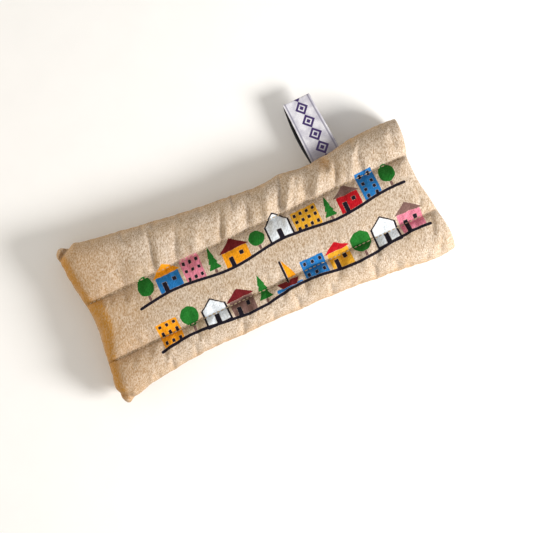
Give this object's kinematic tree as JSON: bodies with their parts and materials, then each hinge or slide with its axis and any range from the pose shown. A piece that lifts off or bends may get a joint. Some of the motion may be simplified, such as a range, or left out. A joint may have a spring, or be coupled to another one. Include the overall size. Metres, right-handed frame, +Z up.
{
  "type": "soft pouch glasses case",
  "caption": "Soft padded pouch for glasses, quilted lengthwise, sewn shut at one end and open at the other, with a folded ribbon loop in its side seam.",
  "frame": {"origin": "on the flat face that the pouch rests on, midway between its two quilting lines and near the middle of its length", "axes": "+X along the pouch from its sewn end to its open mouth, +Y across it towards the ribbon loop, +Z up through its thickness"},
  "size_m": [0.1794, 0.0997, 0.023],
  "materials": {
    "plush": "matte",
    "wadding": "matte",
    "lining": "matte",
    "thread": "satin",
    "ribbon": "satin"
  },
  "bodies": {
    "back_wall": {"back_panel": "plush", "back_wadding": "wadding", "back_lining": "lining", "back_quilt_thread_label_side": "thread", "back_quilt_thread_plain_side": "thread", "back_hem_thread": "thread", "seam_thread": "thread"},
    "front_wall": {"front_panel": "plush", "front_wadding": "wadding", "front_lining": "lining", "front_quilt_thread_label_side": "thread", "front_quilt_thread_plain_side": "thread", "front_hem_thread": "thread"},
    "label": {"label_loop": "ribbon"}
  },
  "joints": [
    {"name": "mouth_open", "type": "hinge", "parent": "back_wall", "child": "front_wall", "pos_m": [-0.0912, 0, 0.0115], "axis": [0, -1, 0], "range_deg": [0, 6], "stiffness_Nm_per_rad": 0.02},
    {"name": "label_flip", "type": "hinge", "parent": "back_wall", "child": "label", "pos_m": [0.0504, 0.033, 0.0115], "axis": [1, 0, 0], "range_deg": [-14, 75], "stiffness_Nm_per_rad": 0.002}
  ]
}
